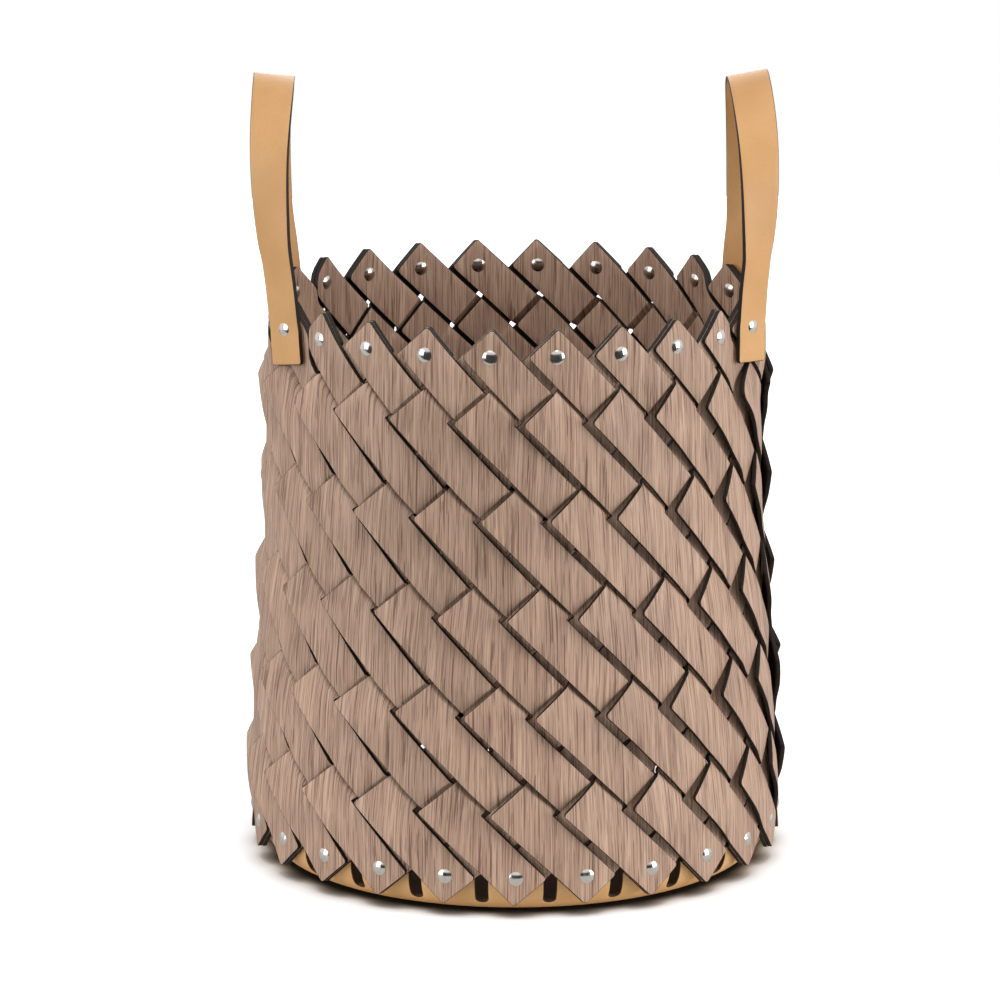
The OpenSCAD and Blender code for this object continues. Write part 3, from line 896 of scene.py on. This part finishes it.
def wall_matrix(x, row, face_angle=None):
    """Frame at a lattice place on the wall's middle surface, with Z along the outward normal. face_angle
    is where that normal points, if it isn't straight out."""
    angle = azimuth(x, row)
    facing = angle if face_angle is None else face_angle
    return (
        Matrix.Translation(round_point(angle, middle_r(row), row_z(row)))
        @ Matrix.Rotation(facing, 4, "Z")
        @ Matrix.Rotation(math.pi / 2 - wall_tilt(row), 4, "X"))


def cap_mesh():
    """One domed cap that stands on the origin."""
    dome_h = CAP_H - CAP_RIM_H
    dome_r = (CAP_R ** 2 + dome_h ** 2) / (2 * dome_h)
    half_angle = math.asin(CAP_R / dome_r)
    base_z = CAP_RIM_H + dome_h - dome_r
    profile = [(0, 0), (CAP_R * CAP_FOOT_SHARE, 0), (CAP_R, CAP_RIM_H * CAP_FOOT_RISE_SHARE)]
    for i in range(DOME_STEPS, -1, -1):
        angle = half_angle * i / DOME_STEPS
        profile.append((dome_r * math.sin(angle), base_z + dome_r * math.cos(angle)))
    bm = bmesh.new()
    verts = [bm.verts.new((r, 0, z)) for r, z in profile]
    edges = [bm.edges.new(pair) for pair in zip(verts, verts[1:])]
    bmesh.ops.spin(
        bm, geom=verts + edges, cent=(0, 0, 0), axis=(0, 0, 1), angle=2 * math.pi, steps=CAP_STEPS,
        use_merge=True)
    bmesh.ops.remove_doubles(bm, verts=bm.verts[:], dist=POINT_REACH)
    mesh = bpy.data.meshes.new("cap")
    bm.to_mesh(mesh)
    bm.free()
    return mesh


CAP_MESH = cap_mesh()


def add_cap(bm, matrix, seat, side):
    """Adds a cap on a seat height along Z of a frame, outside (1) or inside (-1)."""
    before = len(bm.verts)
    bm.from_mesh(CAP_MESH)
    bm.verts.ensure_lookup_table()
    fresh = bm.verts[before:]
    bmesh.ops.scale(bm, vec=(1, 1, side), verts=fresh)
    bmesh.ops.translate(bm, vec=(0, 0, seat), verts=fresh)
    bmesh.ops.transform(bm, matrix=matrix, verts=fresh)


def handle_foot(k):
    """Angle to which a strap's end faces at rim rivet k, counted from 0 at the front, or None."""
    for rivet_angle, face_angle in HANDLE_FEET:
        if abs(turned_between(azimuth(2 * k, 0) - rivet_angle)) < HALF_PITCH / 2:
            return face_angle
    return None


def add_rivets(name, places, low, high):
    """All the rivets of one node: two domed caps at each lattice place."""
    bm = bmesh.new()
    for x, row in places:
        matrix = wall_matrix(x, row, handle_foot(x // 2) if row == 0 else None)
        add_cap(bm, matrix, high, 1)
        add_cap(bm, matrix, low, -1)
    mesh = finish_mesh(bm, name, CAP_SHARP_ANGLE)
    piece = add_piece(name + "_caps", mesh, [NICKEL])
    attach(piece, "basket")
    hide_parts(name)


RIM_LOW = -WALL_HALF_T + CAP_PRESS
RIM_HIGH = WALL_HALF_T - CAP_PRESS
BASE_LOW = -WALL_HALF_T - PETAL_GAP - BASE_T + CAP_PRESS
HANDLE_HIGH = WALL_HALF_T + STRAP_GAP + STRAP_T - CAP_PRESS

RIM_PLACES = [2 * k for k in range(STRIP_COUNT) if handle_foot(k) is None]
HANDLE_PLACES = [2 * k for k in range(STRIP_COUNT) if handle_foot(k) is not None]
add_rivets("rim_rivets", [(x, 0) for x in RIM_PLACES], RIM_LOW, RIM_HIGH)
add_rivets("handle_rivets", [(x, 0) for x in HANDLE_PLACES], RIM_LOW, HANDLE_HIGH)
add_rivets("base_rivets", [(2 * k, WALL_ROWS) for k in range(STRIP_COUNT)], BASE_LOW, RIM_HIGH)


# Base

def petal_r(z):
    """Outside radius of the petals at a height: they follow the inner face of the strips."""
    return outside_r(z_row(z)) - 2 * WALL_HALF_T - PETAL_GAP


BEND_CENTRE_R = petal_r(BEND_R) - BEND_R
FLOOR_LEN = BEND_CENTRE_R - FLOOR_START_R
BEND_LEN = BEND_R * math.pi / 2
PETAL_LEN = BASE_RIVET_Z + PETAL_RISE - BEND_R
BASE_LEN = FLOOR_LEN + BEND_LEN + PETAL_LEN


def base_section(along, depth):
    """Radius and height of the base at a length along its outer face, and depth inside that face."""
    if along <= FLOOR_LEN:
        return FLOOR_START_R + along, depth
    if along <= FLOOR_LEN + BEND_LEN:
        angle = (along - FLOOR_LEN) / BEND_R
        r = BEND_R - depth
        return BEND_CENTRE_R + r * math.sin(angle), BEND_R - r * math.cos(angle)
    z = BEND_R + along - FLOOR_LEN - BEND_LEN
    return petal_r(z) - depth, z


def base_piece():
    """The dished base: one sector cut flat with half a slot on each side, laid on the dish, and turned
    round 24 times."""
    half_w = petal_r(BEND_R) * HALF_PITCH
    petal_half_w = half_w - SLOT_W / 2
    slot_angle = math.acos(1 - SLOT_FLOOR / BEND_R)
    slot_start = FLOOR_LEN + slot_angle * BEND_R
    outline = [
        (-half_w, 0), (half_w, 0), (half_w, slot_start), (petal_half_w, slot_start), (petal_half_w, BASE_LEN),
        (-petal_half_w, BASE_LEN), (-petal_half_w, slot_start), (-half_w, slot_start)]
    slot_round = SLOT_W / 2 * SLOT_ROUND_SHARE
    roundings = [0, 0, 0, slot_round, PETAL_ROUND, PETAL_ROUND, slot_round, 0]

    def on_seam(x, y):
        beside = abs(abs(x) - half_w) < POINT_REACH and y < slot_start + POINT_REACH
        return y < POINT_REACH or beside

    def keep_sharp(edge):
        return all(on_seam(v.co.x, v.co.y) for v in edge.verts)

    bm = flat_sheet(outline, roundings, BASE_T, STRIP_EDGE_BEVEL, keep_sharp)
    cut_lines(bm, [half_w * i / HALF_SECTOR_CUTS for i in range(1 - HALF_SECTOR_CUTS, HALF_SECTOR_CUTS)], 0)
    cut_lines(bm, [FLOOR_LEN * i / FLOOR_CUTS for i in range(1, FLOOR_CUTS)], 1)
    cut_lines(bm, [FLOOR_LEN + BEND_LEN * i / BEND_CUTS for i in range(BEND_CUTS + 1)], 1)
    cut_lines(bm, [FLOOR_LEN + BEND_LEN + PETAL_LEN * i / PETAL_CUTS for i in range(1, PETAL_CUTS)], 1)
    seams = [f for f in bm.faces if all(on_seam(v.co.x, v.co.y) for v in f.verts)]
    bmesh.ops.delete(bm, geom=seams, context="FACES")
    centre = azimuth(0, WALL_ROWS)

    def form(x, y, z):
        r, height = base_section(y, z + BASE_T / 2)
        return round_point(centre + x / half_w * HALF_PITCH, r, height)

    for face in bm.faces:
        if face.material_index == FACE and face.normal.z > LEVEL_NORMAL_Z:
            face.material_index = INSIDE_FACE
    lay_on_form(bm, form, lambda x, y: (x, y))
    sector = bm.verts[:] + bm.edges[:] + bm.faces[:]
    bmesh.ops.spin(
        bm, geom=sector, cent=(0, 0, 0), axis=(0, 0, 1), angle=2 * math.pi * (STRIP_COUNT - 1) / STRIP_COUNT,
        steps=STRIP_COUNT - 1, use_duplicate=True)
    bmesh.ops.remove_doubles(bm, verts=bm.verts[:], dist=SECTOR_REACH)
    ring = [e for e in bm.edges if e.is_boundary]
    bmesh.ops.holes_fill(bm, edges=ring, sides=0)
    mesh = finish_mesh(bm, "base")
    piece = add_piece("base_leather_dish", mesh, [BASE_FACE, BASE_EDGE, BASE_INSIDE])
    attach(piece, "basket")
    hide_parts("base")


base_piece()


# Handles

STRAP_OFFSET = WALL_HALF_T + STRAP_GAP + STRAP_T / 2
ARCH_H = HANDLE_RISE - LEG_RISE - STRAP_T / 2
LEG_TOP_Z = RIM_RIVET_Z + LEG_RISE


class StrapCourse:
    """Course of one side's strap as it would run on the right side, from its front end over the top to
    its back end."""

    def __init__(self, side):
        tilt = wall_tilt(0)
        face = FOOT_FACES[side]
        out = round_point(face, math.cos(tilt), math.sin(tilt))
        self.face = face
        self.lean = FOOT_LEANS[side]
        self.bow = HANDLE_BOW[side]
        self.twist_power = TWIST_POWER[side]
        self.crest_roll = CREST_ROLL[side]
        self.up = round_point(face, -math.sin(tilt), math.cos(tilt))
        self.foot = round_point(HANDLE_ANGLE, middle_r(0), RIM_RIVET_Z) + out * STRAP_OFFSET
        half_span = -self.foot.y
        self.arch_len = math.pi / 4 * (
            3 * (half_span + ARCH_H) - math.sqrt((3 * half_span + ARCH_H) * (half_span + 3 * ARCH_H)))
        self.half_len = STRAP_MARGIN + LEG_RISE + self.arch_len

    def point(self, along):
        """Point on the middle line of the front half, at a length from its end."""
        past = along - STRAP_MARGIN
        if past < 0:
            return self.foot + self.up * past
        leg_z = self.foot.z + (LEG_TOP_Z - self.foot.z) * min(past / LEG_RISE, 1)
        angle = math.pi / 2 * max(0, (past - LEG_RISE) / self.arch_len)
        z = leg_z + ARCH_H * math.sin(angle)
        bow = curve_at(z - RIM_RIVET_Z, self.bow)
        return Vector((self.foot.x + bow, self.foot.y * math.cos(angle), z))

    def axes(self, along):
        """Directions along the strap, across it and out of its face at a length from its end."""
        if along >= self.half_len - COURSE_STEP:
            direction = Vector((0, 1, 0))
        else:
            direction = (self.point(along + COURSE_STEP) - self.point(along - COURSE_STEP)).normalized()
        side = direction.cross(Vector((1, 0, 0))).normalized()
        level = side.cross(direction)
        remaining = max(0.0, 1 - max(0.0, along - STRAP_MARGIN) / (LEG_RISE + self.arch_len))
        twist = self.face * min(1.0, remaining / TWIST_SHARE) ** self.twist_power
        twist -= self.crest_roll * (1 - smoothstep(remaining / CREST_SHARE))
        across = math.cos(twist) * level + math.sin(twist) * side
        return direction, across, across.cross(direction)

    def leaning(self, past):
        """Shift and turn of the strap's end in its own plane, at a length past its rivet."""
        if past >= LEAN_REACH:
            return 0.0, 0.0
        if past <= -LEAN_REACH:
            return -math.tan(self.lean) * past, self.lean
        share = (LEAN_REACH - past) / (2 * LEAN_REACH)
        return math.tan(self.lean) * LEAN_REACH * share ** 2, self.lean * share

    def place(self, x, y, z):
        """Place of a point of the flat strap: x along it, y across it, z through it."""
        front = x <= self.half_len
        along = x if front else 2 * self.half_len - x
        direction, across, out = self.axes(along)
        shift, turn = self.leaning(along - STRAP_MARGIN)
        turned = math.cos(turn) * across - math.sin(turn) * direction
        place = self.point(along) - across * shift + turned * y + out * z
        return place if front else Vector((place.x, -place.y, place.z))


def add_strap(side, mirror):
    """A handle's strap in one piece, riveted at both ends, and bending above the rim."""
    course = StrapCourse(side)
    total = 2 * course.half_len
    half_w = STRAP_W / 2
    outline = [(0, -half_w), (total, -half_w), (total, half_w), (0, half_w)]
    bm = flat_sheet(outline, [STRAP_CORNER_ROUND] * 4, STRAP_T, STRAP_EDGE_BEVEL)
    cut_lines(bm, [total * i / STRAP_CUTS for i in range(1, STRAP_CUTS)], 0)
    cut_lines(bm, [half_w * i / HALF_STRAP_CUTS for i in range(1 - HALF_STRAP_CUTS, HALF_STRAP_CUTS)], 1)
    lay_on_form(bm, course.place, lambda x, y: (x, y))
    if mirror:
        bmesh.ops.scale(bm, vec=(-1, 1, 1), verts=bm.verts[:])
    mesh = finish_mesh(bm, side + "_strap")
    strap = add_piece(side + "_handle_strap", mesh, [STRAP_FACE, DARK_EDGE_AND_PAINTED_SHADE])
    joint = next(j for j in frame["joints"] if j["name"] == side + "_handle_flex")
    pivot = Vector(joint["pos_m"])
    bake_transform(strap)
    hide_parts(side + "_handle_loop", side + "_handle_front_end", side + "_handle_back_end")


add_strap("right", mirror=False)
add_strap("left", mirror=True)


# Studio

def studio_world():
    """A world that is white to the camera and lights the basket softly. Mirrors see it white too, but for
    the dark room in front of the white backdrop, between the floor and the lamps."""
    world = bpy.data.worlds.new("studio")
    bpy.context.scene.world = world
    world.use_nodes = True
    tree = world.node_tree
    background = tree.nodes["Background"]
    rays = new_node(tree, "ShaderNodeLightPath", (-1000, 0))
    place = new_node(tree, "ShaderNodeTexCoord", (-1400, -300))
    parts = new_node(tree, "ShaderNodeSeparateXYZ", (-1200, -300))
    tree.links.new(place.outputs["Generated"], parts.inputs["Vector"])
    in_front = remap(tree, parts.outputs["Y"], ROOM_DEPTH, (-1000, -300), to=(1.0, 0.0))
    below_lamps = remap(tree, parts.outputs["Z"], ROOM_TOP, (-1000, -500), to=(1.0, 0.0))
    room = math_of(tree, "MULTIPLY", in_front, below_lamps, (-800, -400))
    mirrored = remap(tree, room, (0.0, 1.0), (-600, -400), to=(1.0, ROOM_LIGHT))
    glossy = math_of(tree, "MULTIPLY", rays.outputs["Is Glossy Ray"], mirrored, (-400, -200))
    seen = math_of(
        tree, "MAXIMUM", rays.outputs["Is Camera Ray"], rays.outputs["Is Transmission Ray"], (-800, 100))
    seen = math_of(tree, "MAXIMUM", seen, glossy, (-200, 0))
    soft = math_of(tree, "MULTIPLY", rays.outputs["Is Diffuse Ray"], WORLD_LIGHT, (-400, 200))
    strength = math_of(tree, "MAXIMUM", seen, soft, (0, 0))
    background.inputs["Color"].default_value = (1, 1, 1, 1)
    tree.links.new(strength, background.inputs["Strength"])


def floor_material():
    """White floor that fades to the white background, and darkens only close under the basket, where its
    colour and its glow carry a painted shadow.
    """
    material, tree, surface = new_material("white_floor")
    tree.nodes.remove(surface)
    output = tree.nodes["Material Output"]
    diffuse = new_node(tree, "ShaderNodeBsdfDiffuse", (-200, 200))
    # Painted shadow: the colour the camera sees goes dark where the basket closes in the floor.
    contact = new_node(tree, "ShaderNodeAmbientOcclusion", (-800, 300), samples=SHADE_SAMPLES)
    set_inputs(contact, Distance=CONTACT_REACH)
    close = remap(tree, contact.outputs["AO"], CONTACT_OPEN, (-600, 300), to=(FLOOR_DARK, FLOOR_WHITE))
    rays = new_node(tree, "ShaderNodeLightPath", (-600, 0))
    bounced = remap(tree, rays.outputs["Is Camera Ray"], (0.0, 1.0), (-400, 400), to=(FLOOR_WHITE, 0.0))
    tree.links.new(math_of(tree, "MAXIMUM", close, bounced, (-300, 300)), diffuse.inputs["Color"])
    glow = new_node(tree, "ShaderNodeEmission", (-200, 0))
    # Painted shadow: the glow fades where the basket closes in the floor.
    nearby = new_node(tree, "ShaderNodeAmbientOcclusion", (-800, -200), samples=SHADE_SAMPLES)
    set_inputs(nearby, Distance=SHADE_REACH)
    shade = remap(tree, nearby.outputs["AO"], SHADE_OPEN, (-600, -200), to=(0.0, FLOOR_GLOW))
    strength = math_of(tree, "MULTIPLY", rays.outputs["Is Camera Ray"], shade, (-400, 0))
    tree.links.new(strength, glow.inputs["Strength"])
    both = new_node(tree, "ShaderNodeAddShader", (0, 100))
    tree.links.new(diffuse.outputs["BSDF"], both.inputs[0])
    tree.links.new(glow.outputs["Emission"], both.inputs[1])
    tree.links.new(both.outputs["Shader"], output.inputs["Surface"])
    return material


def add_floor():
    """A wide floor under the basket, which ends sooner in front, where polished rivets mirror it."""
    bm = bmesh.new()
    bmesh.ops.create_grid(bm, x_segments=1, y_segments=1, size=FLOOR_HALF)
    bmesh.ops.translate(bm, verts=bm.verts[:], vec=(0, FLOOR_HALF - FLOOR_FRONT, 0))
    mesh = bpy.data.meshes.new("floor")
    bm.to_mesh(mesh)
    bm.free()
    add_piece("studio_floor", mesh, [floor_material()])


def add_softbox(name, angle, elevation, distance, size, power):
    """A square soft light that looks at the basket from an angle round it."""
    a, e = math.radians(angle), math.radians(elevation)
    away = Vector((math.sin(a) * math.cos(e), -math.cos(a) * math.cos(e), math.sin(e)))
    data = bpy.data.lights.new(name, "AREA")
    data.size = size
    data.energy = power
    lamp = bpy.data.objects.new(name, data)
    lamp.location = SOFTBOX_TARGET + away * distance
    lamp.rotation_euler = (-away).to_track_quat("-Z", "Y").to_euler()
    bpy.context.scene.collection.objects.link(lamp)


def add_camera():
    """The photograph's viewpoint."""
    data = bpy.data.cameras.new("camera")
    data.lens = CAMERA_LENS
    data.sensor_width = CAMERA_SENSOR
    data.clip_end = CAMERA_SIGHT
    camera = bpy.data.objects.new("camera", data)
    camera.location = CAMERA_AT
    camera.rotation_euler = (CAMERA_TILT, 0, CAMERA_TURN)
    bpy.context.scene.collection.objects.link(camera)
    bpy.context.scene.camera = camera


studio_world()
add_floor()
for softbox, settings in SOFTBOXES.items():
    add_softbox(softbox, *settings)
add_camera()
bpy.context.scene.view_settings.view_transform = "Standard"
